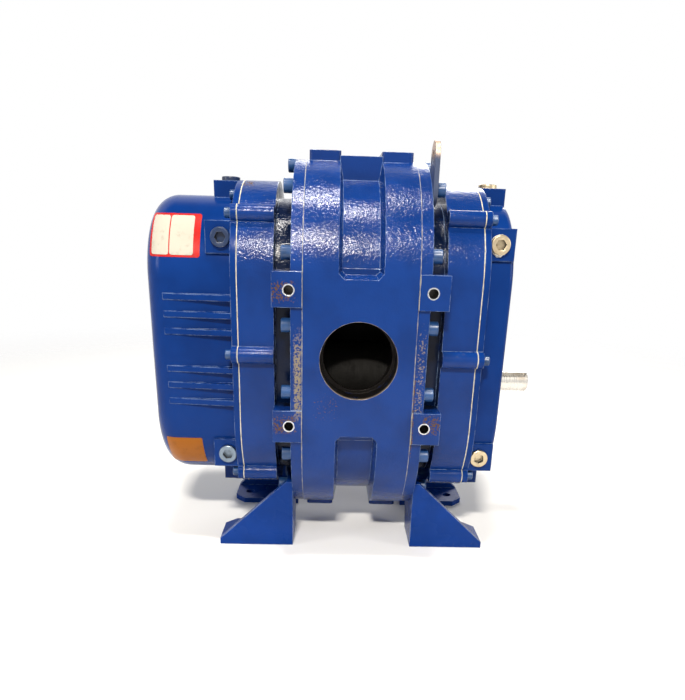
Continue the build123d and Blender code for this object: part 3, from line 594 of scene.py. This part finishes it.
gearPlugs = plugPlaces("gear_cover_plugs")
bareOnes = [p for p in gearPlugs if p[1] == (0, -1, 0) and p[0].z < 0.287]
blueOnes = [p for p in gearPlugs if p not in bareOnes]
drivePlugs = plugPlaces("drive_cover_plugs")
for name, places, finish, nodeName, slot in (
        ("gear_cover_plugs_painted", blueOnes, darkScrewPaint, "gear_cover_plugs", "blue_screw"),
        ("gear_cover_plug_bare", bareOnes, dullSteel, "gear_cover_plugs", "bare_steel"),
        ("drive_cover_plugs_plated", drivePlugs, platedMetal, "drive_cover_plugs", "plated")):
    piece = fasteners(name, plugTemplate, places, finish, 4)
    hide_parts(nodeName)
for template in templates:
    bpy.data.objects.remove(template)


def tapeWisp(name, place, outward, reach, seed):
    # torn end of sealing tape squeezed out round a plug's thread
    turn = Vector(outward).to_track_quat("Z", "Y")
    count, rings = 72, []
    profile = ((11.2, 0.1, 0.0), (12.8, 0.1, 1.0), (12.9, 1.1, 1.0), (11.2, 0.9, 0.0), (11.2, 0.1, 0.0))
    for radius, height, frill in profile:
        ring = []
        for k in range(count):
            angle = 2 * math.pi * k / count
            ragged = 0.5 + 0.3 * math.sin(5 * angle + seed) + 0.2 * math.sin(17 * angle + 2 * seed)
            torn = max(0.0, math.sin(angle + seed)) ** 2 * ragged
            lift = 0.7 * frill * torn * math.sin(11 * angle)
            r = radius + reach * frill * torn
            point = Vector((r * math.cos(angle), r * math.sin(angle), height + lift))
            ring.append(place + turn @ point * mm)
        rings.append(ring)
    piece = bpy.data.objects.new(name, ringMesh(name, rings, False, False))
    bpy.context.scene.collection.objects.link(piece)
    dress(piece, tapeWhite)
    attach(piece, "housing")


for number, (place, outward) in enumerate(drivePlugs):
    if outward != (0, 1, 0) and place.z > 0.2:
        tapeWisp("threadTape%d" % number, place, outward, 3.2, 1.3 + 2.1 * number)
print("oil plugs placed")

panelCream = (0.43, 0.4, 0.335)
stickers = {
    "safetyLabel": {
        "x": (-272, -206), "z": (406, 459), "corner": 3.5, "lift": 0.35, "colour": (0.4, 0.012, 0.01)},
    "safetyPanelOuter": {
        "x": (-268.8, -246), "z": (408.6, 456.4), "corner": 3.0, "lift": 0.62, "colour": panelCream},
    "safetyPanelInner": {
        "x": (-244.6, -214.6), "z": (408.6, 456.4), "corner": 3.0, "lift": 0.62, "colour": panelCream},
    "noticeLabel": {
        "x": (-266, -215), "z": (115, 162), "corner": 2.0, "lift": 0.35, "colour": (0.29, 0.09, 0.006)},
}
coverShape = bmesh.new()
coverShape.from_mesh(nodes["gear_cover"].data)
coverSurface = BVHTree.FromBMesh(coverShape)


def sticker(name, look):
    # thin film laid on the front of the gear cover, with rounded corners
    x0, x1 = look["x"]
    z0, z1 = look["z"]
    halfX, halfZ, r = (x1 - x0) / 2, (z1 - z0) / 2, look["corner"]
    rows, columns = 40, 40
    work = bmesh.new()
    grid = []
    for j in range(rows + 1):
        v = -halfZ * math.cos(math.pi * j / rows)
        inCorner = max(0.0, abs(v) - (halfZ - r))
        width = halfX - r + math.sqrt(max(0.0, r * r - inCorner * inCorner))
        row = []
        for i in range(columns + 1):
            u = width * (2 * i / columns - 1)
            x, z = ((x0 + x1) / 2 + u) * mm, ((z0 + z1) / 2 + v) * mm
            hit, normal, index, far = coverSurface.ray_cast(Vector((x, -1, z)), Vector((0, 1, 0)))
            row.append(work.verts.new(hit + normal * look["lift"] * mm))
        grid.append(row)
    for low, high in zip(grid, grid[1:]):
        for i in range(columns):
            work.faces.new((low[i], low[i + 1], high[i + 1], high[i]))
    bmesh.ops.smooth_vert(
        work, verts=work.verts, factor=0.5, use_axis_x=False, use_axis_y=True, use_axis_z=False)
    mesh = bpy.data.meshes.new(name)
    work.to_mesh(mesh)
    work.free()
    piece = bpy.data.objects.new(name, mesh)
    bpy.context.scene.collection.objects.link(piece)
    film = piece.modifiers.new("film", "SOLIDIFY")
    film.thickness = 0.2 * mm
    film.offset = -1
    settle(piece)
    dress(piece, stickerMaterial(name + "Film", look["colour"], [c * 0.35 for c in look["colour"]]))
    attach(piece, "housing")
    return piece


for name, look in stickers.items():
    sticker(name, look)
coverShape.free()
print("labels laid on")

# plain pale floor that fades into a white surrounding
floorMesh = bpy.data.meshes.new("floor")
floorMesh.from_pydata([(-12, -12, 0), (12, -12, 0), (12, 12, 0), (-12, 12, 0)], [], [(0, 1, 2, 3)])
floor = bpy.data.objects.new("floor", floorMesh)
bpy.context.scene.collection.objects.link(floor)
floorMaterial, tree, surface, where = startMaterial("paleFloor")
surface.inputs["Base Color"].default_value = (0.86, 0.86, 0.86, 1)
surface.inputs["Roughness"].default_value = 0.9
surface.inputs["Specular IOR Level"].default_value = 0.1
spread = put(tree, "ShaderNodeVectorMath", {0: where}, operation="LENGTH").outputs["Value"]
clear = put(tree, "ShaderNodeBsdfTransparent")
mixed = put(tree, "ShaderNodeMixShader", {
    0: fade(tree, spread, 0.7, 2.2), 1: surface.outputs[0], 2: clear.outputs[0]})
tree.links.new(mixed.outputs[0], tree.nodes["Material Output"].inputs["Surface"])
dress(floor, floorMaterial)

world = bpy.data.worlds.new("studio")
bpy.context.scene.world = world
world.use_nodes = True
tree = world.node_tree
rays = put(tree, "ShaderNodeLightPath").outputs
seen = calc(tree, "MAXIMUM", rays["Is Camera Ray"], calc(
    tree, "MAXIMUM", rays["Is Glossy Ray"], rays["Is Transmission Ray"]))
aim = put(tree, "ShaderNodeSeparateXYZ", {0: put(tree, "ShaderNodeTexCoord").outputs["Generated"]}).outputs[2]
lowSky = fade(tree, aim, 0.88, 0.7)
backdrop = blendColours(tree, lowSky, (0.12, 0.12, 0.125), (1.0, 1.0, 1.0))
sky = blendColours(tree, seen, (0.2, 0.2, 0.205), backdrop)
tree.links.new(sky, tree.nodes["Background"].inputs["Color"])

lamps = {
    "frontLamp": {"at": (-0.2, -1.8, 1.85), "size": (0.34, 0.12), "power": 64, "colour": (1.0, 0.94, 0.84)},
    "topLamp": {"at": (-0.1, -0.3, 2.3), "size": (0.4, 0.18), "power": 40, "colour": (1.0, 0.96, 0.9)},
    "leftLamp": {"at": (-2.2, -1.0, 1.2), "size": (0.5, 1.1), "power": 16, "colour": (0.95, 0.97, 1.0)},
    "rightLamp": {"at": (2.2, -0.9, 1.0), "size": (0.5, 1.1), "power": 16, "colour": (1.0, 0.98, 0.95)},
    "backLamp": {"at": (0.5, 2.2, 1.6), "size": (1.4, 0.9), "power": 30, "colour": (1.0, 0.98, 0.95)},
}
centre = Vector((0, 0, 0.29))
for name, lamp in lamps.items():
    light = bpy.data.lights.new(name, "AREA")
    light.shape = "RECTANGLE"
    light.size, light.size_y = lamp["size"]
    light.energy = lamp["power"]
    light.color = lamp["colour"]
    holder = bpy.data.objects.new(name, light)
    holder.location = lamp["at"]
    holder.rotation_euler = (centre - Vector(lamp["at"])).to_track_quat("-Z", "Y").to_euler()
    bpy.context.scene.collection.objects.link(holder)
print("floor and lamps ready")

cameraPlace = {"at": (-0.03451, -0.94666, 0.44954), "yaw": 0.02879, "pitch": 0.34182, "roll": -0.02953,
               "lens": 32.384, "shift": (-0.0063, 0.143)}
camera = bpy.data.objects.new("camera", bpy.data.cameras.new("camera"))
bpy.context.scene.collection.objects.link(camera)
yaw, pitch, roll = cameraPlace["yaw"], cameraPlace["pitch"], cameraPlace["roll"]
forward = Vector((math.sin(yaw) * math.cos(pitch), math.cos(yaw) * math.cos(pitch), -math.sin(pitch)))
level = Vector((math.cos(yaw), -math.sin(yaw), 0))
down = forward.cross(level)
right = math.cos(roll) * level + math.sin(roll) * down
upward = math.sin(roll) * level - math.cos(roll) * down
turned = Matrix((right, upward, -forward)).transposed().to_4x4()
camera.matrix_world = Matrix.Translation(cameraPlace["at"]) @ turned
camera.data.lens = cameraPlace["lens"]
camera.data.sensor_width = 36.0
camera.data.shift_x, camera.data.shift_y = cameraPlace["shift"]
bpy.context.scene.camera = camera
bpy.context.scene.view_settings.view_transform = "Standard"

print("scene finished")
